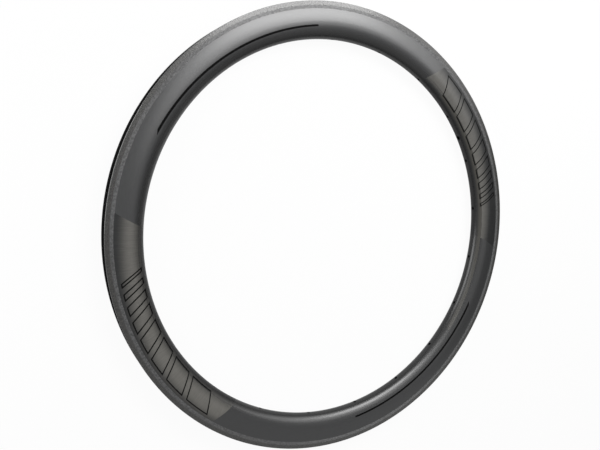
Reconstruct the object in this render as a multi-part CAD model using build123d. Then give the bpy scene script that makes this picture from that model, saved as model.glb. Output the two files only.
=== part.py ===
"""A deep hollow bicycle rim, moulded as one piece and then drilled.

The rim lies on its side with its axle line on +Z, its middle plane on Z = 0 and
its centre at the origin. The valve hole points along +X. Lengths are in millimetres.
"""

import os
from math import asin, cos, pi, sin

from build123d import *

# Tyre seat and flanges
bead_seat_diameter = 622.0
flange_height = 5.75
flange_thickness = 2.8
inner_width = 20.7
hook_overhang = 0.45
lip_chamfer = 0.4

# Outer faces, from the tyre edge down to the nose
rim_depth = 48.0
band_height = 10.3
band_flare = 0.4
belly_bulge = 1.3
belly_height = 22.2
side_flats = 3

# Drilled holes
spoke_count = 21
spoke_hole_diameter = 4.3
access_hole_diameter = 8.6
access_hole_sides = 8
valve_hole_diameter = 6.5

# Tyre bed and nose land, each a margin wider than its holes
nose_margin = 0.15
well_margin = 1.15
well_depth = 3.1
well_slope = 0.9

# Walls round the closed hollow
side_wall = 1.0
bed_wall = 1.3
nose_wall = 2.4
hollow_flats = 2

# Radii from the axle line
seat_radius = bead_seat_diameter / 2
outer_radius = seat_radius + flange_height
nose_radius = outer_radius - rim_depth
crease_radius = outer_radius - band_height
belly_radius = nose_radius + belly_height
well_radius = seat_radius - well_depth

# Half widths from the middle plane
channel_half = inner_width / 2
hook_half = channel_half - hook_overhang
lip_half = hook_half + flange_thickness
band_half = lip_half + band_flare
belly_half = band_half + belly_bulge
land_half = valve_hole_diameter / 2 + nose_margin
well_half = access_hole_diameter / 2 + well_margin
shelf_half = well_half + well_slope


def nose_to_belly(depth, half, flats):
    """Corners from the nose land up a quarter ellipse of this depth and half width to the belly."""
    start = asin(land_half / half)
    corners = [(belly_radius - depth, land_half)]
    for flat in range(1, flats + 1):
        turn = start + (pi / 2 - start) * flat / flats
        corners.append((belly_radius - depth * cos(turn), half * sin(turn)))
    return corners


def outline(corners):
    """A face inside the (radius, half width) corners of one side and their mirror images."""
    other_side = [(radius, -half) for radius, half in reversed(corners)]
    return make_face(Polyline(*corners, *other_side, close=True))


def outside():
    """The nose, swelling sides, edge bands, hooked flanges and tyre bed."""
    return outline(
        nose_to_belly(belly_height, belly_half, side_flats)
        + [
            (crease_radius, band_half),
            (outer_radius - lip_chamfer, lip_half),
            (outer_radius, lip_half - lip_chamfer),
            (outer_radius, hook_half),
            (seat_radius, channel_half),
            (seat_radius, shelf_half),
            (well_radius, well_half),
        ]
    )


def hollow():
    """The closed hollow: thick wall at the nose, thin sides, even wall under the tyre bed."""
    return outline(
        nose_to_belly(belly_height - nose_wall, belly_half - side_wall, hollow_flats)
        + [
            (seat_radius - bed_wall, band_half - side_wall),
            (well_radius - bed_wall, well_half),
        ]
    )


def drilling(angle, profile, start, end):
    """A cutter of this profile along the spoke line at an angle, from one radius to another."""
    line = Vector(1, 0).rotate(Axis.Z, angle)
    return extrude(Plane(origin=line * start, z_dir=line) * profile, end - start)


def drillings():
    """The valve hole on +X, and round the rim the spoke holes, each under its nipple access hole."""
    pitch = 360 / spoke_count
    below_nose = nose_radius - nose_wall
    spoke_hole = Circle(spoke_hole_diameter / 2)
    valve_hole = Circle(valve_hole_diameter / 2)
    access_hole = RegularPolygon(access_hole_diameter / 2, access_hole_sides, major_radius=False)
    cutters = [drilling(0, valve_hole, below_nose, outer_radius)]
    for index in range(spoke_count):
        angle = (index + 0.5) * pitch
        cutters.append(drilling(angle, spoke_hole, below_nose, belly_radius))
        cutters.append(drilling(angle, access_hole, belly_radius, outer_radius))
    return cutters


def rim():
    section = Plane.XZ * (outside() - hollow())
    return revolve(section, Axis.Z) - drillings()


os.makedirs("parts", exist_ok=True)
export_step(rim(), "parts/rim.step")
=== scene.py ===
from collections import namedtuple
from math import asin, atan2, cos, hypot, pi, radians, sin, sqrt

import bmesh
import bpy
from mathutils import Matrix, Vector


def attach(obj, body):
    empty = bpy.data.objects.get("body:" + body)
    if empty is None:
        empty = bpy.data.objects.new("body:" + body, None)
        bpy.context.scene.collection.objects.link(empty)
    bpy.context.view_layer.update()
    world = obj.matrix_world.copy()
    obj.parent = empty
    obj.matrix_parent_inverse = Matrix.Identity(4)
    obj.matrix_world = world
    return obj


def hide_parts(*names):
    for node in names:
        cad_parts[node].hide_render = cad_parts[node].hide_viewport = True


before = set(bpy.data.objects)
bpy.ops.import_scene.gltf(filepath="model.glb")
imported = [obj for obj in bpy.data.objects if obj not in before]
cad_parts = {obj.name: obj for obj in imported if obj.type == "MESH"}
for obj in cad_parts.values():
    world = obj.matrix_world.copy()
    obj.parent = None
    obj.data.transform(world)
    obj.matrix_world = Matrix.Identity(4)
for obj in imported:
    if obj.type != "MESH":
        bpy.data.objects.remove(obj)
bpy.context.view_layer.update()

# Lengths are in millimetres where nothing else is said, and points go into the meshes in metres.
MM = 0.001

# Driving sizes of the section
BEAD_SEAT = 622.0
FLANGE_HEIGHT = 5.75
FLANGE_THICKNESS = 2.7
INNER_WIDTH = 20.7
HOOK_OVERHANG = 0.45
LIP_EDGE = 0.5
RIM_DEPTH = 48.0
BAND_HEIGHT = 10.3
BAND_FLARE = 0.5
BAND_UPRIGHT = 4.25
BELLY_BULGE = 1.3
BELLY_HEIGHT = 22.2
WELL_DEPTH = 3.1
WELL_MARGIN = 1.15
WELL_SLOPE = 0.9
SIDE_WALL = 1.0
BED_WALL = 1.3
NOSE_WALL = 2.4

# Drilled holes
SPOKES = 21
SPOKE_HOLE_R = 2.15
ACCESS_HOLE_R = 4.3
VALVE_HOLE_R = 3.25
HOLE_BEVEL = 0.18

# Radii from the axle line
SEAT_R = BEAD_SEAT / 2
OUTER_R = SEAT_R + FLANGE_HEIGHT
LIP_R = OUTER_R - LIP_EDGE
NOSE_R = OUTER_R - RIM_DEPTH
CREASE_R = OUTER_R - BAND_HEIGHT
BREAK_R = CREASE_R + BAND_UPRIGHT
BELLY_R = NOSE_R + BELLY_HEIGHT
WELL_R = SEAT_R - WELL_DEPTH
FLOOR_R = NOSE_R + NOSE_WALL
ROOF_R = WELL_R - BED_WALL
BELLY_TO_CREASE = CREASE_R - BELLY_R

# Half widths from the middle plane
CHANNEL_W = INNER_WIDTH / 2
HOOK_W = CHANNEL_W - HOOK_OVERHANG
LIP_W = HOOK_W + FLANGE_THICKNESS
BAND_W = LIP_W + BAND_FLARE
BELLY_W = BAND_W + BELLY_BULGE
WELL_W = ACCESS_HOLE_R + WELL_MARGIN
SHELF_W = WELL_W + WELL_SLOPE

# The photograph's own angles round the rim start 33.71 degrees before the valve hole
VALVE_AT = radians(33.71)
PHOTO = Matrix.Rotation(-VALVE_AT, 4, "Z")


def add_object(name, data):
    """A new object in the scene."""
    obj = bpy.data.objects.new(name, data)
    bpy.context.scene.collection.objects.link(obj)
    return obj


def spread(a, b, n):
    """n + 1 even values from a to b."""
    return [a + (b - a) * i / n for i in range(n + 1)]


# Curves of the section
BAND_BEND = 0.8
BAND_TILT = BAND_FLARE / (LIP_R - BREAK_R)


def side_w(r):
    """Half width of the smooth side at a radius between the nose and the crease."""
    if r < BELLY_R:
        return BELLY_W * sqrt(max(0.0, 1 - ((BELLY_R - r) / BELLY_HEIGHT) ** 2))
    return BELLY_W - BELLY_BULGE * ((r - BELLY_R) / BELLY_TO_CREASE) ** 2


def nose_r(w):
    """Radius of the nose at a half width."""
    return BELLY_R - BELLY_HEIGHT * sqrt(1 - (w / BELLY_W) ** 2)


def band_w(r):
    """Half width of the edge band: upright by the crease, then bending in towards the lip."""
    past = min(max(r - BREAK_R, -BAND_BEND), BAND_BEND)
    bend = (past + BAND_BEND) ** 2 / (4 * BAND_BEND)
    return BAND_W - BAND_TILT * (bend + max(0.0, r - BREAK_R - BAND_BEND))


# Rows of section points. A patch is the square of faces that a hole takes out, PATCH_HALF faces each way.
PATCH_HALF = 3
NOSE_PATCH_W = 4.5
NOSE_STEPS = 16
BELLY_STEPS = 8
CREASE_RUN = 0.6
CREASE_EDGE = 0.12
UPRIGHT_ROWS = (CREASE_R + 1.15, CREASE_R + 2.55)
BEND_STEPS = 4
SLOPING_ROWS = (BREAK_R + 2.3, BREAK_R + 4.1)
EDGE_STEPS = 4
CROWN_SHINE = 0.9
HOOK_STEPS = 2
HOOK_FOOT = 0.9

# Soft corners of the tyre bed: the sharp corner's radius and half width, then steps out and wider from it
BED_CORNERS = (
    (SEAT_R, CHANNEL_W, ((0.25, -0.2), (0.0, -0.85))),
    (SEAT_R, SHELF_W, ((0.0, 0.45), (-0.3, -0.02))),
    (WELL_R, WELL_W, ((0.35, 0.2),)),
)

# Rows of the hollow
FLOOR_PATCH_W = 4.2
FLOOR_TURN_W = 5.2
FLOOR_EASE = 0.2
HOLLOW_STEPS = 5
SHOULDER_DROP = 2.2
SHOULDER_STEPS = 3
SHOULDER_W = 10.9


def outer_half():
    """(radius, half width, zone) from the nose to the well floor. A zone names the face after its point."""
    side = [(nose_r(w), w) for w in spread(0, NOSE_PATCH_W, PATCH_HALF)]
    for t in spread(asin(NOSE_PATCH_W / BELLY_W), pi / 2, NOSE_STEPS)[1:]:
        side.append((BELLY_R - BELLY_HEIGHT * cos(t), BELLY_W * sin(t)))
    for r in spread(BELLY_R, CREASE_R - CREASE_RUN, BELLY_STEPS)[1:] + [CREASE_R - CREASE_EDGE]:
        side.append((r, side_w(r)))
    bend_rows = spread(BREAK_R - BAND_BEND, BREAK_R + BAND_BEND, BEND_STEPS)
    band_rows = [CREASE_R + CREASE_EDGE, *UPRIGHT_ROWS, *bend_rows, *SLOPING_ROWS]
    band = [(r, band_w(r)) for r in band_rows]
    lip = []
    channel = [(OUTER_R, LIP_W - LIP_EDGE - CROWN_SHINE)]
    for t in spread(0, pi / 2, EDGE_STEPS):
        lip.append((LIP_R + LIP_EDGE * sin(t), LIP_W - LIP_EDGE * (1 - cos(t))))
        channel.append((LIP_R + LIP_EDGE * cos(t), HOOK_W + LIP_EDGE * (1 - sin(t))))
    for r in spread(LIP_R, SEAT_R + HOOK_FOOT, HOOK_STEPS)[1:]:
        channel.append((r, HOOK_W + HOOK_OVERHANG * (LIP_R - r) / (LIP_R - SEAT_R)))
    for corner_r, corner_w, steps in BED_CORNERS:
        channel += [(corner_r + out, corner_w + wider) for out, wider in steps]
    channel += [(WELL_R, w) for w in reversed(spread(0, WELL_W, PATCH_HALF))]
    zones = {"side": side, "band": band, "lip": lip, "channel": channel}
    return [(r, w, zone) for zone, points in zones.items() for r, w in points]


def hollow_half():
    """(radius, half width, zone) of the hollow, from its floor to its roof."""
    widest = BELLY_W - SIDE_WALL
    height = BELLY_R - FLOOR_R - FLOOR_EASE
    points = [(FLOOR_R, w) for w in spread(0, FLOOR_PATCH_W, PATCH_HALF)]
    for t in spread(asin(FLOOR_TURN_W / widest), pi / 2, HOLLOW_STEPS):
        points.append((BELLY_R - height * cos(t), widest * sin(t)))
    for r in spread(BELLY_R, SEAT_R - SHOULDER_DROP, SHOULDER_STEPS)[1:]:
        points.append((r, side_w(min(r, CREASE_R)) - SIDE_WALL))
    points.append((SEAT_R - BED_WALL, SHOULDER_W))
    points += [(ROOF_R, w) for w in reversed(spread(0, WELL_W, PATCH_HALF))]
    return [(r, w, "hollow") for r, w in points]


def whole(half):
    """A closed loop of section points: one side from the middle plane out, then the other side back."""
    loop = half[:-1]
    for (_, _, zone), (r, w, _) in reversed(list(zip(half, half[1:]))):
        loop.append((r, -w, zone))
    return loop


# Rim mesh: its columns, the points of a ring, as many as on a patch's border, and the collars round holes
OUTER_COLUMNS = 28 * SPOKES
HOLLOW_COLUMNS = 16 * SPOKES
RING_POINTS = 8 * PATCH_HALF
INNER_COLLAR = 0.9
OUTER_COLLAR = 0.7

# A point this near to the smooth side takes the side's exact normal. The slack is larger by the nose, where
# the side turns round. The clear margins are at the two ends of the side.
SIDE_SLACK = 0.004
NOSE_SLACK = 0.036
NOSE_SLACK_HEIGHT = 2.0
NOSE_CLEAR = 0.01
CREASE_CLEAR = 0.2

# Radial stretch of the rim that one unit of its texture map holds
MAP_HEIGHT = 100.0


class Shell:
    """A closed section revolved in columns round the axle line."""

    def __init__(self, bm, half, columns, slots, inward):
        self.bm = bm
        self.columns = columns
        self.slots = slots
        self.inward = inward
        self.loop = whole(half)
        self.rows = len(self.loop)
        self.top_row = len(half) - 1
        self.taken = set()
        self.verts = {}

    def vert(self, column, row):
        """The vertex at a place in the grid, made when it is first asked for."""
        key = (column % self.columns, row % self.rows)
        if key not in self.verts:
            angle = 2 * pi * key[0] / self.columns
            r, w, _ = self.loop[key[1]]
            self.verts[key] = self.bm.verts.new(Vector((r * cos(angle), r * sin(angle), w)) * MM)
        return self.verts[key]

    def skin(self):
        """Makes every face that no patch has taken."""
        for j in range(self.columns):
            for i in range(self.rows):
                if (j, i) in self.taken:
                    continue
                places = [(j, i), (j + 1, i), (j + 1, i + 1), (j, i + 1)]
                corners = [self.vert(*place) for place in places]
                if self.inward:
                    corners.reverse()
                face = self.bm.faces.new(corners)
                face.material_index = self.slots[self.loop[i][2]]


class Patch:
    """A square of faces taken out of a shell, round a row on the middle plane at a share of a turn.

    Its border runs once round the hole.
    sense is 1 where half widths grow with the rows, and -1 where they fall.
    """

    def __init__(self, shell, share, row, sense, radius_at, zone):
        self.shell = shell
        self.radius_at = radius_at
        self.zone = zone
        column = round(share * shell.columns)
        steps = range(-PATCH_HALF, PATCH_HALF)
        for dj in steps:
            for di in steps:
                shell.taken.add(((column + dj) % shell.columns, (row + di) % shell.rows))
        border = [(PATCH_HALF, d) for d in steps] + [(-d, PATCH_HALF) for d in steps]
        border += [(-PATCH_HALF, -d) for d in steps] + [(d, -PATCH_HALF) for d in steps]
        self.border = [(column + dj, row + sense * di) for dj, di in border]

    def vertices(self):
        return [self.shell.vert(*place) for place in self.border]


def ring_points(angle, radius_at, hole_r, shift):
    """Points of a circle round a radial drilling, on a surface of revolution and then moved out by shift."""
    radial = Vector((cos(angle), sin(angle), 0))
    along = Vector((-sin(angle), cos(angle), 0))
    points = []
    for turn in spread(-pi / 4, 7 * pi / 4, RING_POINTS)[:-1]:
        a, w = hole_r * cos(turn), hole_r * sin(turn)
        reach = sqrt(radius_at(w) ** 2 - a * a) + shift
        points.append((radial * reach + along * a + Vector((0, 0, w))) * MM)
    return points


def bridge(bm, first, second, slot):
    """A band of faces from one ring of vertices to the next."""
    for k in range(len(first)):
        n = (k + 1) % len(first)
        bm.faces.new([first[k], first[n], second[n], second[k]]).material_index = slot


def drill(bm, share, hole_r, inner, outer, slots):
    """Joins the patches at the two ends of a radial hole by a drilled wall with bevelled edges."""
    circles = [
        (inner, INNER_COLLAR, 0),
        (inner, HOLE_BEVEL, 0),
        (inner, 0, HOLE_BEVEL),
        (outer, 0, -HOLE_BEVEL),
        (outer, HOLE_BEVEL, 0),
        (outer, OUTER_COLLAR, 0),
    ]
    rings = [inner.vertices()]
    for patch, wider, shift in circles:
        points = ring_points(2 * pi * share, patch.radius_at, hole_r + wider, shift)
        rings.append([bm.verts.new(point) for point in points])
    rings.append(outer.vertices())
    zones = [inner.zone] * 2 + ["hole"] * 3 + [outer.zone] * 2
    for first, second, zone in zip(rings, rings[1:], zones):
        bridge(bm, first, second, slots[zone])


def holes():
    """(share of a turn, hole radius in the nose, hole radius in the tyre bed) of each drilling."""
    spokes = [((k + 0.5) / SPOKES, SPOKE_HOLE_R, ACCESS_HOLE_R) for k in range(SPOKES)]
    return spokes + [(0.0, VALVE_HOLE_R, VALVE_HOLE_R)]


def true_normal(vert):
    """The exact normal of a point on the smooth side or nose, so that highlights run true past the holes."""
    x, y, w = vert.co / MM
    r = hypot(x, y)
    slack = NOSE_SLACK if r < NOSE_R + NOSE_SLACK_HEIGHT else SIDE_SLACK
    between_ends = NOSE_R - NOSE_CLEAR <= r <= CREASE_R - CREASE_CLEAR
    if not between_ends or abs(abs(w) - side_w(r)) > slack:
        return vert.normal
    if r < BELLY_R:
        out = (r - BELLY_R) / BELLY_HEIGHT ** 2
        up = w / BELLY_W ** 2
    else:
        out = 2 * BELLY_BULGE * (r - BELLY_R) / BELLY_TO_CREASE ** 2
        up = 1.0 if w > 0 else -1.0
    return Vector((x / r * out, y / r * out, up)).normalized()


def unwrap(bm):
    """A texture map with the turn across and the radius up, half a unit higher for points below Z = 0."""
    uv = bm.loops.layers.uv.new("UVMap")
    for face in bm.faces:
        centre = face.calc_center_median()
        middle = atan2(centre.y, centre.x)
        for loop in face.loops:
            place = loop.vert.co
            turn = atan2(place.y, place.x)
            # a face across the seam keeps all its corners on one side of it
            if turn - middle > pi:
                turn -= 2 * pi
            if middle - turn > pi:
                turn += 2 * pi
            up = (hypot(place.x, place.y) / MM - NOSE_R) / MAP_HEIGHT
            loop[uv].uv = (turn / (2 * pi) + 0.5, up + (0.5 if place.z < 0 else 0))


def finished_mesh(name, bm, materials):
    """Turns a bmesh into a mesh with these materials, and frees it."""
    mesh = bpy.data.meshes.new(name)
    bm.to_mesh(mesh)
    bm.free()
    for material in materials:
        mesh.materials.append(material)
    return mesh


def build_rim(materials):
    """The rim as one mesh: the outside and the hollow, joined through the holes. materials are by zone."""
    slots = {zone: index for index, zone in enumerate(materials)}
    bm = bmesh.new()
    outside = Shell(bm, outer_half(), OUTER_COLUMNS, slots, inward=False)
    hollow = Shell(bm, hollow_half(), HOLLOW_COLUMNS, slots, inward=True)
    walls = []
    for share, nose_hole_r, bed_hole_r in holes():
        nose = Patch(outside, share, 0, 1, nose_r, "side")
        floor = Patch(hollow, share, 0, 1, lambda w: FLOOR_R, "hollow")
        roof = Patch(hollow, share, hollow.top_row, -1, lambda w: ROOF_R, "hollow")
        well = Patch(outside, share, outside.top_row, -1, lambda w: WELL_R, "channel")
        walls += [(share, nose_hole_r, nose, floor), (share, bed_hole_r, roof, well)]
    outside.skin()
    hollow.skin()
    for share, hole_r, inner, outer in walls:
        drill(bm, share, hole_r, inner, outer, slots)
    bmesh.ops.recalc_face_normals(bm, faces=bm.faces)
    unwrap(bm)
    for face in bm.faces:
        face.smooth = True
    mesh = finished_mesh("rim_shell", bm, materials.values())
    mesh.normals_split_custom_set_from_vertices([true_normal(vert) for vert in mesh.vertices])
    return add_object("rim_shell", mesh)


# Shader nodes. The sockets of a Mix node by its data type: factor, first value, second value, result
MIX_SOCKETS = {"RGBA": (0, 6, 7, 2), "FLOAT": (0, 2, 3, 0)}
QUARTER_TURN = 0.25


def rgb(r, g, b):
    return (r, g, b, 1.0)


class Nodes:
    """Adds shader nodes to a material or a world and links them.

    What goes into a node is a number, a colour, a vector or another node's output.
    """

    def __init__(self, owner):
        self.owner = owner
        owner.use_nodes = True
        self.tree = owner.node_tree
        self.tree.nodes.clear()

    def add(self, kind, **settings):
        node = self.tree.nodes.new(kind)
        for key, value in settings.items():
            setattr(node, key, value)
        return node

    def put(self, socket, value):
        if isinstance(value, bpy.types.NodeSocket):
            self.tree.links.new(value, socket)
        else:
            socket.default_value = value

    def fill(self, node, *values):
        """Puts values into a node's first inputs and returns its first output."""
        for socket, value in zip(node.inputs, values):
            self.put(socket, value)
        return node.outputs[0]

    def fill_named(self, node, values):
        """Puts values into a node's inputs by their names and returns its first output."""
        for name, value in values.items():
            self.put(node.inputs[name], value)
        return node.outputs[0]

    def math(self, operation, *values):
        return self.fill(self.add("ShaderNodeMath", operation=operation), *values)

    def times(self, first, *others):
        for other in others:
            first = self.math("MULTIPLY", first, other)
        return first

    def measure(self, operation, *vectors):
        """A number worked out from vectors, such as a length."""
        node = self.add("ShaderNodeVectorMath", operation=operation)
        self.fill(node, *vectors)
        return node.outputs["Value"]

    def ramp(self, value, low, high, out_low=0.0, out_high=1.0):
        """A smooth step from out_low to out_high, while the value goes from low to high."""
        node = self.add("ShaderNodeMapRange", interpolation_type="SMOOTHSTEP")
        return self.fill(node, value, low, high, out_low, out_high)

    def mix(self, factor, a, b, kind="RGBA"):
        node = self.add("ShaderNodeMix", data_type=kind)
        *places, result = MIX_SOCKETS[kind]
        for place, value in zip(places, (factor, a, b)):
            self.put(node.inputs[place], value)
        return node.outputs[result]

    def noise(self, vector, scale, detail, rough=0.5):
        values = {"Vector": vector, "Scale": scale, "Detail": detail, "Roughness": rough}
        return self.fill_named(self.add("ShaderNodeTexNoise"), values)

    def bump(self, height, distance, strength=1.0):
        """A bumped normal. The distance is in metres."""
        values = {"Height": height, "Distance": distance, "Strength": strength}
        return self.fill_named(self.add("ShaderNodeBump"), values)

    def vector(self, x, y, z):
        return self.fill(self.add("ShaderNodeCombineXYZ"), x, y, z)

    def parts(self, vector):
        node = self.add("ShaderNodeSeparateXYZ")
        self.fill(node, vector)
        return node.outputs

    def place(self):
        """The place on the object, in metres."""
        return self.add("ShaderNodeTexCoord").outputs["Object"]

    def polar(self, place):
        """Angle round the rim in radians, then radius and height in millimetres."""
        x, y, z = self.parts(place)
        radius = self.measure("LENGTH", self.vector(x, y, 0.0))
        return self.math("ARCTAN2", y, x), self.times(radius, 1 / MM), self.times(z, 1 / MM)

    def output(self, kind, shader):
        """Ends the tree with this shader and returns the material or world."""
        self.put(self.add(kind).inputs[0], shader)
        return self.owner

    def surface(self, color, roughness, gloss, normal=None, grooves=0.0, sheen=0.0):
        """A Principled surface with a share of sheen.

        grooves stretches its shine across grooves that run round the rim.
        """
        values = {
            "Base Color": color,
            "Roughness": roughness,
            "Specular IOR Level": gloss,
            "Sheen Weight": sheen,
        }
        if grooves:
            tangent = self.add("ShaderNodeTangent", direction_type="RADIAL", axis="Z")
            values["Anisotropic"] = grooves
            values["Anisotropic Rotation"] = QUARTER_TURN
            values["Tangent"] = tangent.outputs[0]
        if normal is not None:
            values["Normal"] = normal
        shader = self.fill_named(self.add("ShaderNodeBsdfPrincipled"), values)
        return self.output("ShaderNodeOutputMaterial", shader)


# Satin laminate. A ply starts at an angle at radius at_r, and its ends lean by slant, in radians per mm.
Ply = namedtuple("Ply", "start length slant at_r edge")
BELLY_PLY = Ply(start=radians(141.75), length=radians(60.0), slant=0.001615, at_r=303.5, edge=0.0015)
NOSE_PLY = Ply(start=radians(-69.7), length=radians(85.5), slant=0.0042, at_r=276.25, edge=0.002)

# Painted sheen of the two belly plies, a painted highlight that makes their colour paler across the belly:
# the radii where it rises and fades, how far out the fade moves along the ply, and the strength at the ply's
# two ends. The near ply is on the valve's side of the rim.
Sheen = namedtuple("Sheen", "rise fade spread strength")
FAR_PAINTED_SHEEN = Sheen(rise=(270.0, 287.0), fade=(286.0, 304.0), spread=8.0, strength=(0.72, 0.94))
NEAR_PAINTED_SHEEN = Sheen(rise=(272.0, 278.0), fade=(270.0, 292.0), spread=16.0, strength=(0.82, 0.58))
NEAR_SIDE_AT = radians(-8.0)
NEAR_SIDE_EDGE = (-0.05, 0.05)

# Fibres: noise scales per radian round the rim, per millimetre out and per millimetre up, and its contrast
Fibres = namedtuple("Fibres", "scales detail contrast")
FIBRES_ROUND = Fibres(scales=(30.0, 1.6, 0.5), detail=3.0, contrast=(0.25, 0.75))
FIBRES_ACROSS = Fibres(scales=(330.0, 0.07, 0.1), detail=2.0, contrast=(0.3, 0.7))
FIBRE_ROUGH = 0.6

# The nose, with painted light that makes it paler on the half of the rim round one angle, its own ply and the
# moulding seam beside it
NOSE_FADE = (275.0, 283.0)
NOSE_TINT = 0.65
NOSE_PAINTED_LIGHT_AT = radians(-165.7)
NOSE_PAINTED_LIGHT_EDGE = (-0.3, 0.1)
NOSE_PLY_RISE = (270.5, 274.5)
NOSE_PLY_FADE = 0.4
NOSE_PLY_STRENGTH = 0.8
SEAM_R = 277.2
SEAM_HALF = (0.15, 0.7)
SEAM_STRENGTH = 0.4

# Colours of the laminate, with the darker first where there are two
DARK_TONES = (rgb(0.0063, 0.0066, 0.0071), rgb(0.0120, 0.0123, 0.0129))
# The nose's own dark tone, then a paler tone that is painted light on one half of the rim
NOSE_TONE_AND_PAINTED_LIGHT = (rgb(0.0025, 0.0025, 0.0024), rgb(0.019, 0.019, 0.0187))
PLY_EDGE_TONES = (rgb(0.0072, 0.0075, 0.0078), rgb(0.0123, 0.0126, 0.0129))
# Tones of the pale plies' painted sheen, a painted highlight in their colour
PLY_PAINTED_SHEEN_TONES = (rgb(0.106, 0.102, 0.0935), rgb(0.128, 0.1235, 0.1125))
NOSE_PLY_TONE = rgb(0.036, 0.034, 0.029)
SEAM_TONE = rgb(0.006, 0.006, 0.006)

# Finish of the laminate
LAMINATE_ROUGH = (0.295, 0.315)
LAMINATE_GLOSS = 0.6
NOSE_POLISH = 0.045
NOSE_DULLING = 0.15
PALE_DULLING = 0.3
PEEL_SCALE = 900.0
PEEL_DETAIL = 1.0
PEEL_DEPTH = 0.000003


def past_edge(n, turn, radius, ply):
    """Angle past the leaning edge where a ply starts."""
    lean = n.math("MULTIPLY_ADD", radius, ply.slant, -ply.slant * ply.at_r - ply.start)
    return n.math("ADD", turn, lean)


def within(n, lap, ply):
    """1 between the two ends of a ply and 0 past them."""
    return n.times(n.ramp(lap, 0.0, ply.edge), n.ramp(lap, ply.length, ply.length + ply.edge, 1.0, 0.0))


def painted_sheen_of(n, radius, way, sheen):
    """Strength of a belly ply's painted sheen, a painted highlight, at a radius and a share of the way along
    the ply.
    """
    outward = n.math("MULTIPLY_ADD", way, -sheen.spread, radius)
    shape = n.times(n.ramp(radius, *sheen.rise), n.ramp(outward, *sheen.fade, 1.0, 0.0))
    return n.times(shape, n.ramp(way, 0.0, 1.0, *sheen.strength))


def side_towards(n, turn, angle, edge):
    """1 on the part of the rim round an angle and 0 across from it, with the change at these cosines."""
    return n.ramp(n.math("COSINE", n.math("SUBTRACT", turn, angle)), *edge)


def fibres(n, polar, kind):
    stretched = n.vector(*[n.times(value, scale) for value, scale in zip(polar, kind.scales)])
    return n.ramp(n.noise(stretched, 1.0, kind.detail, FIBRE_ROUGH), *kind.contrast)


def nose_ply(n, turn, radius):
    """Strength of the pale ply along the nose, which ends at the moulding seam."""
    ends = within(n, past_edge(n, turn, radius, NOSE_PLY), NOSE_PLY)
    seam_side = n.ramp(radius, SEAM_R - NOSE_PLY_FADE, SEAM_R, NOSE_PLY_STRENGTH, 0.0)
    return n.times(ends, seam_side, n.ramp(radius, *NOSE_PLY_RISE))


def carbon():
    """Satin laminate with fine fibres. Two opposite plies, each a sixth of a turn, have a painted sheen at
    the belly.
    """
    n = Nodes(bpy.data.materials.new("satin_carbon"))
    place = n.place()
    polar = n.polar(place)
    turn, radius, _ = polar
    along = fibres(n, polar, FIBRES_ROUND)
    across = fibres(n, polar, FIBRES_ACROSS)
    nose = n.ramp(radius, *NOSE_FADE, 1.0, 0.0)

    lap = n.math("WRAP", past_edge(n, turn, radius, BELLY_PLY), pi, 0.0)
    painted_sheen_ply = within(n, lap, BELLY_PLY)
    way = n.times(lap, 1 / BELLY_PLY.length)
    near_side = side_towards(n, turn, NEAR_SIDE_AT, NEAR_SIDE_EDGE)
    # Painted sheen: a painted highlight in the colour of the two pale plies, strongest across the belly
    painted_sheens = [painted_sheen_of(n, radius, way, sheen) for sheen in (FAR_PAINTED_SHEEN, NEAR_PAINTED_SHEEN)]
    belly = n.mix(near_side, *painted_sheens, "FLOAT")

    # Painted light: the nose is paler on the half of the rim round this angle
    nose_painted_light = side_towards(n, turn, NOSE_PAINTED_LIGHT_AT, NOSE_PAINTED_LIGHT_EDGE)
    dark = n.mix(n.times(nose, NOSE_TINT), n.mix(along, *DARK_TONES), n.mix(nose_painted_light, *NOSE_TONE_AND_PAINTED_LIGHT))
    # The pale plies' colour, made lighter across the belly by the painted highlight
    light = n.mix(belly, n.mix(across, *PLY_EDGE_TONES), n.mix(across, *PLY_PAINTED_SHEEN_TONES))
    color = n.mix(nose_ply(n, turn, radius), n.mix(painted_sheen_ply, dark, light), NOSE_PLY_TONE)
    off_seam = n.math("ABSOLUTE", n.math("SUBTRACT", radius, SEAM_R))
    color = n.mix(n.ramp(off_seam, *SEAM_HALF, SEAM_STRENGTH, 0.0), color, SEAM_TONE)

    rough = n.math("SUBTRACT", n.ramp(along, 0.0, 1.0, *LAMINATE_ROUGH), n.times(nose, NOSE_POLISH))
    dulling = n.math("MAXIMUM", n.times(painted_sheen_ply, PALE_DULLING), n.times(nose, NOSE_DULLING))
    gloss = n.math("SUBTRACT", LAMINATE_GLOSS, dulling)
    peel = n.noise(place, PEEL_SCALE, PEEL_DETAIL)
    return n.surface(color, rough, gloss, n.bump(peel, PEEL_DEPTH))


# Textured edge band. Noise scales are per metre. Tones, roughness and pits are by the lip, then the crease.
GRAIN_SCALE = 380.0
GRAIN_DETAIL = 3.0
GRAIN_ROUGH = 0.65
GRAIN_SHARE = 0.75
GRAIN_DEPTH = 0.0003
GRAIN_STRENGTH = 0.4
NOISE_MIDDLE = 0.5
FINE_SCALE = 1100.0
FINE_DETAIL = 1.0
SPECK_CONTRAST = (0.38, 0.62)
RAGGED_BY = 3.0
BAND_CHANGE = (309.8, 312.2)
BAND_LOW_TONES = (rgb(0.0005, 0.0005, 0.0004), rgb(0.017, 0.017, 0.0173))
BAND_HIGH_TONES = (rgb(0.018, 0.0171, 0.0148), rgb(0.070, 0.0703, 0.0711))
BAND_ROUGH = (0.25, 0.42)
BAND_PITS = (0.03, 0.05)
BAND_GLOSS = 0.58
BAND_GROOVES = 0.95
BAND_SHEEN = 0.2


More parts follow.
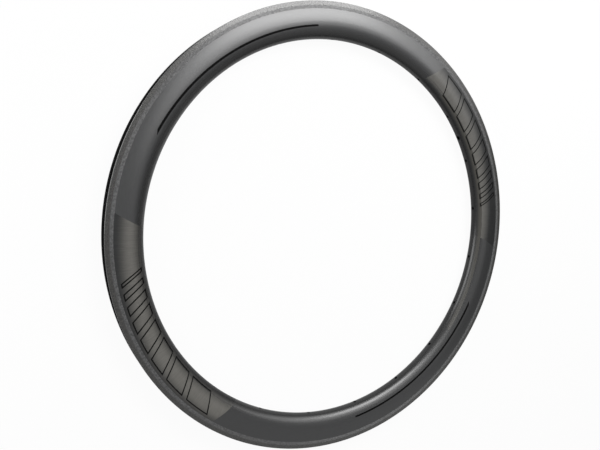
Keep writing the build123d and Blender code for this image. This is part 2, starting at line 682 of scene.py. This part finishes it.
def textured_band():
    """Moulded edge band with a fine grooved and pebbled texture, darker and smoother towards the lip."""
    n = Nodes(bpy.data.materials.new("textured_band"))
    place = n.place()
    _, radius, _ = n.polar(place)
    grain = n.noise(place, GRAIN_SCALE, GRAIN_DETAIL, GRAIN_ROUGH)
    fine = n.noise(place, FINE_SCALE, FINE_DETAIL)
    pebbles = n.math("ADD", n.times(grain, GRAIN_SHARE), n.times(fine, 1 - GRAIN_SHARE))
    speck = n.ramp(pebbles, *SPECK_CONTRAST)
    ragged = n.math("MULTIPLY_ADD", n.math("SUBTRACT", grain, NOISE_MIDDLE), RAGGED_BY, radius)
    by_crease = n.ramp(ragged, *BAND_CHANGE, 1.0, 0.0)
    color = n.mix(speck, n.mix(by_crease, *BAND_LOW_TONES), n.mix(by_crease, *BAND_HIGH_TONES))
    pits = n.times(speck, n.ramp(by_crease, 0.0, 1.0, *BAND_PITS))
    rough = n.math("SUBTRACT", n.ramp(by_crease, 0.0, 1.0, *BAND_ROUGH), pits)
    bumps = n.bump(grain, GRAIN_DEPTH, GRAIN_STRENGTH)
    return n.surface(color, rough, BAND_GLOSS, bumps, BAND_GROOVES, BAND_SHEEN)


# Plain dark finishes
CLOUD_DETAIL = 3.0
CLOUD_CONTRAST = (0.3, 0.7)
ROUGH_EITHER_WAY = 0.05
LIP_TONES = (rgb(0.012, 0.012, 0.0115), rgb(0.020, 0.0195, 0.0185))


def plain_dark(name, low, high, roughness, scale, gloss):
    """A dark finish, clouded in colour and roughness. The scale of the clouds is per metre."""
    n = Nodes(bpy.data.materials.new(name))
    cloud = n.noise(n.place(), scale, CLOUD_DETAIL)
    smoothest, dullest = roughness - ROUGH_EITHER_WAY, roughness + ROUGH_EITHER_WAY
    return n.surface(n.mix(cloud, low, high), n.ramp(cloud, *CLOUD_CONTRAST, smoothest, dullest), gloss)


def grey(level):
    return rgb(level, level, level)


MATERIALS = {
    "side": carbon(),
    "band": textured_band(),
    "lip": plain_dark("smooth_lip", *LIP_TONES, roughness=0.12, scale=300.0, gloss=0.9),
    "channel": plain_dark("tyre_bed", grey(0.005), grey(0.009), roughness=0.55, scale=200.0, gloss=0.08),
    "hollow": plain_dark("hollow_wall", grey(0.004), grey(0.007), roughness=0.6, scale=150.0, gloss=0.1),
    "hole": plain_dark("drilled_wall", grey(0.003), grey(0.006), roughness=0.55, scale=400.0, gloss=0.05),
}
PRINT_BLACK = plain_dark("black_print", grey(0.0015), grey(0.003), roughness=0.3, scale=250.0, gloss=0.03)

rim = build_rim(MATERIALS)
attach(rim, "root")
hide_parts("rim")

# Black prints on both sides
PRINT_LIFT = 0.05
PRINT_ROOT = -0.08
SLOPE_STEP = 0.05


def on_side(turn, r, side, lift):
    """A point over the side at a photo angle, a radius and a lift off the surface."""
    slope = (side_w(r + SLOPE_STEP) - side_w(r - SLOPE_STEP)) / (2 * SLOPE_STEP)
    scale = hypot(1, slope)
    lifted_r, lifted_w = r - lift * slope / scale, side_w(r) + lift / scale
    angle = turn - VALVE_AT
    return Vector((lifted_r * cos(angle), lifted_r * sin(angle), side * lifted_w)) * MM


def add_sheet(bm, rows, side):
    """A thin closed sheet from rows of (photo angle, radius). A last row like the first makes it a ring."""
    ring = rows[0] == rows[-1]
    grid = rows[:-1] if ring else rows
    count, lanes = len(grid), len(grid[0]) - 1
    top = [[bm.verts.new(on_side(turn, r, side, PRINT_LIFT)) for turn, r in row] for row in grid]
    low = [[bm.verts.new(on_side(turn, r, side, PRINT_ROOT)) for turn, r in row] for row in grid]
    for i in range(count if ring else count - 1):
        n = (i + 1) % count
        for j in range(lanes):
            bm.faces.new([top[i][j], top[n][j], top[n][j + 1], top[i][j + 1]])
            bm.faces.new([low[i][j], low[i][j + 1], low[n][j + 1], low[n][j]])
        bm.faces.new([top[i][0], low[i][0], low[n][0], top[n][0]])
        bm.faces.new([top[i][-1], top[n][-1], low[n][-1], low[i][-1]])
    if not ring:
        for j in range(lanes):
            bm.faces.new([top[0][j], top[0][j + 1], low[0][j + 1], low[0][j]])
            bm.faces.new([top[-1][j], low[-1][j], low[-1][j + 1], top[-1][j + 1]])


def printed(name, sheets):
    """A piece made of sheets of black print, the same on both sides of the rim."""
    bm = bmesh.new()
    for side in (1, -1):
        for rows in sheets:
            add_sheet(bm, rows, side)
    bmesh.ops.recalc_face_normals(bm, faces=bm.faces)
    obj = add_object(name, finished_mesh(name, bm, [PRINT_BLACK]))
    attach(obj, "root")


# Pinstripes: photo angles, the middle line's radius with its sag and rise, half width with its swelling
STRIPE_FROM = radians(99.25)
STRIPE_TO = radians(155.1)
STRIPE_SHIFT = radians(1.1)
STRIPE_R = 284.6
STRIPE_SAG = 4.2
STRIPE_RISE = 5.6
STRIPE_HALF = 1.25
STRIPE_SWELL = 0.3
STRIPE_CUT = 0.012
STRIPE_STEPS = 140
STRIPE_LANES = 4


def stripe(start):
    """A pinstripe with a square end and a far end cut at a slant, which leaves a point on its inner edge."""
    rows = []
    for step in spread(0, 1, STRIPE_STEPS):
        row = []
        for across in spread(-1, 1, STRIPE_LANES):
            along = step * (1 - STRIPE_CUT * (1 + across))
            middle = STRIPE_R - STRIPE_SAG * along + STRIPE_RISE * along ** 2
            half = STRIPE_HALF + STRIPE_SWELL * along
            row.append((start + (STRIPE_TO - STRIPE_FROM) * along, middle + half * across))
        rows.append(row)
    return rows


# Graded bars: photo angles where the two rows start, radii, line width, lean, gap and widths along a row
BAR_ROWS_AT = (radians(190.0), radians(10.0))
BAR_LOW = 275.0
BAR_HIGH = 303.0
BAR_MID = (BAR_LOW + BAR_HIGH) / 2
BAR_LINE = 1.6
BAR_LEAN = 0.55
BAR_GAP = 7.0
BAR_WIDTHS = (6.0, 9.0, 12.5, 16.5, 21.0, 26.0, 31.5, 37.5)
BAR_STEPS = 16


def bar_corners(place, width, inset):
    """(distance along the row, radius) of a leaning bar's corners, drawn in by an inset."""
    across = inset * hypot(1, BAR_LEAN)
    near, far = place + across, place + width - across
    low, high = BAR_LOW + inset, BAR_HIGH - inset
    upright = ((near, low), (far, low), (far, high), (near, high))
    return [(s + BAR_LEAN * (r - BAR_MID), r) for s, r in upright]


def bar(start, place, width):
    """The outline of a leaning bar that stands at a place along its row, in mm at the middle radius."""
    outlines = [bar_corners(place, width, inset) for inset in (0.0, BAR_LINE)]
    rows = []
    for k in range(4):
        for share in spread(0, 1, BAR_STEPS)[:-1]:
            row = []
            for outline in outlines:
                (s, r), (next_s, next_r) = outline[k], outline[(k + 1) % 4]
                row.append((start + (s + (next_s - s) * share) / BAR_MID, r + (next_r - r) * share))
            rows.append(row)
    return rows + [rows[0]]


def bar_row(start):
    """A row of bars that grow wider."""
    sheets = []
    place = 0.0
    for width in BAR_WIDTHS:
        sheets.append(bar(start, place, width))
        place += width + BAR_GAP
    return sheets


printed("pinstripes", [stripe(STRIPE_FROM), stripe(STRIPE_FROM + pi + STRIPE_SHIFT)])
printed("graded_bars", [sheet for start in BAR_ROWS_AT for sheet in bar_row(start)])

# Floor, in metres, and how white it is for the camera and in reflections
WHITE = grey(1.0)
FLOOR_GREY = grey(0.6)
FLOOR_REACH = 6.0
FLOOR_GAP = 0.0001
FLOOR_LEVEL = -BELLY_W * MM - FLOOR_GAP
FLOOR_SEEN = 0.95
FLOOR_MIRRORED = 0.35

# World: the fill light's level, and how far reflections dim on the studio's darker side and towards the
# floor. The darker side's direction is in the photograph's own frame.
FILL_LEVEL = 0.15
DARK_SIDE = Vector((0.83, -0.06, 0.55)).normalized()
DARK_EDGE = radians(26.0)
DARK_CORE = radians(6.0)
DARK_LEVEL = 0.25
LOW_EDGE = 0.0
LOW_TOP = 0.7
LOW_LEVEL = 0.35


def white_backdrop(n, plain, white, seen_share, mirrored_share):
    """A plain shader turned white, by one share for the camera and another in reflections and glass."""
    ray = n.add("ShaderNodeLightPath").outputs
    share = n.times(ray["Is Camera Ray"], seen_share)
    for name in ("Is Glossy Ray", "Is Transmission Ray"):
        share = n.math("MAXIMUM", share, n.times(ray[name], mirrored_share))
    return n.fill(n.add("ShaderNodeMixShader"), share, plain, white)


def pale_floor():
    n = Nodes(bpy.data.materials.new("pale_floor"))
    plain = n.fill(n.add("ShaderNodeBsdfDiffuse"), FLOOR_GREY)
    white = n.fill(n.add("ShaderNodeEmission"), WHITE, 1.0)
    shader = white_backdrop(n, plain, white, FLOOR_SEEN, FLOOR_MIRRORED)
    return n.output("ShaderNodeOutputMaterial", shader)


def add_floor():
    """A large square just under the rim."""
    mesh = bpy.data.meshes.new("floor")
    corners = [(-1, -1), (1, -1), (1, 1), (-1, 1)]
    points = [(x * FLOOR_REACH, y * FLOOR_REACH, FLOOR_LEVEL) for x, y in corners]
    mesh.from_pydata(points, [], [(0, 1, 2, 3)])
    mesh.materials.append(pale_floor())
    return add_object("floor", mesh)


def studio_world():
    """White behind the rim, white that dims here and there in its reflections, and a weak fill light."""
    n = Nodes(bpy.data.worlds.new("studio"))
    sight = n.add("ShaderNodeTexCoord").outputs["Generated"]
    towards_dark = n.measure("DOT_PRODUCT", sight, PHOTO.to_3x3() @ DARK_SIDE)
    dark_fade = n.ramp(towards_dark, cos(DARK_EDGE), cos(DARK_CORE), 1.0, DARK_LEVEL)
    low_fade = n.ramp(n.parts(sight)[2], LOW_EDGE, LOW_TOP, LOW_LEVEL, 1.0)
    seen = n.add("ShaderNodeLightPath").outputs["Is Camera Ray"]
    brightness = n.math("MAXIMUM", n.times(dark_fade, low_fade), seen)
    fill = n.fill(n.add("ShaderNodeBackground"), WHITE, FILL_LEVEL)
    white = n.fill(n.add("ShaderNodeBackground"), WHITE, brightness)
    return n.output("ShaderNodeOutputWorld", white_backdrop(n, fill, white, 1.0, 1.0))


# Softboxes, in metres, and the point that they face
LIGHT_AIM = Vector((0.0, 0.1, 0.0))
UPWARD = Vector((0, 1, 0))


def softbox(name, place, size, power):
    """A soft area light, placed in the photograph's own frame (x right, y up, z to the viewer)."""
    data = bpy.data.lights.new(name, "AREA")
    data.shape = "RECTANGLE"
    data.size, data.size_y = size
    data.energy = power
    place = Vector(place)
    ahead = (LIGHT_AIM - place).normalized()
    across = ahead.cross(UPWARD).normalized()
    turn = Matrix((across, across.cross(ahead), -ahead)).transposed().to_4x4()
    turn.translation = place
    add_object(name, data).matrix_world = PHOTO @ turn


# Camera fitted to the photograph: its turns about the rim in radians, where the rim's centre lies from it
# (right, down and ahead), its focal length in pixels of the photograph, and its sight's limits in metres
CAM_YAW = 0.4729
CAM_PITCH = 0.1078
CAM_SHIFT = Vector((45.715, 9.576, 841.33))
CAM_FOCAL = 582.25
PHOTO_WIDTH = 600
SENSOR_WIDTH = 36.0
CAM_CLIP = (0.05, 50.0)


def add_camera():
    data = bpy.data.cameras.new("camera")
    data.sensor_width = SENSOR_WIDTH
    data.lens = CAM_FOCAL / PHOTO_WIDTH * SENSOR_WIDTH
    data.clip_start, data.clip_end = CAM_CLIP
    axle = Vector((sin(CAM_YAW) * cos(CAM_PITCH), sin(CAM_PITCH), -cos(CAM_YAW) * cos(CAM_PITCH)))
    right = Vector((cos(CAM_YAW), 0, sin(CAM_YAW)))
    rim_axes = (right, axle.cross(right), axle)
    turn = Matrix([[axis.x, -axis.y, -axis.z] for axis in rim_axes]).to_4x4()
    turn.translation = Vector([-CAM_SHIFT.dot(axis) for axis in rim_axes]) * MM
    camera = add_object("camera", data)
    camera.matrix_world = PHOTO @ turn
    return camera


floor = add_floor()
bpy.context.scene.world = studio_world()
softbox("key_softbox", (0.35, 0.81, 0.97), size=(0.76, 0.52), power=12.4)
softbox("broad_softbox", (0.43, 0.68, 0.94), size=(1.36, 1.11), power=13.0)
softbox("left_softbox", (-1.1, 0.34, 0.23), size=(0.9, 0.9), power=14.0)
softbox("front_softbox", (-1.4, 0.66, 2.2), size=(0.9, 0.9), power=5.0)
bpy.context.scene.camera = add_camera()
bpy.context.scene.view_settings.view_transform = "Standard"
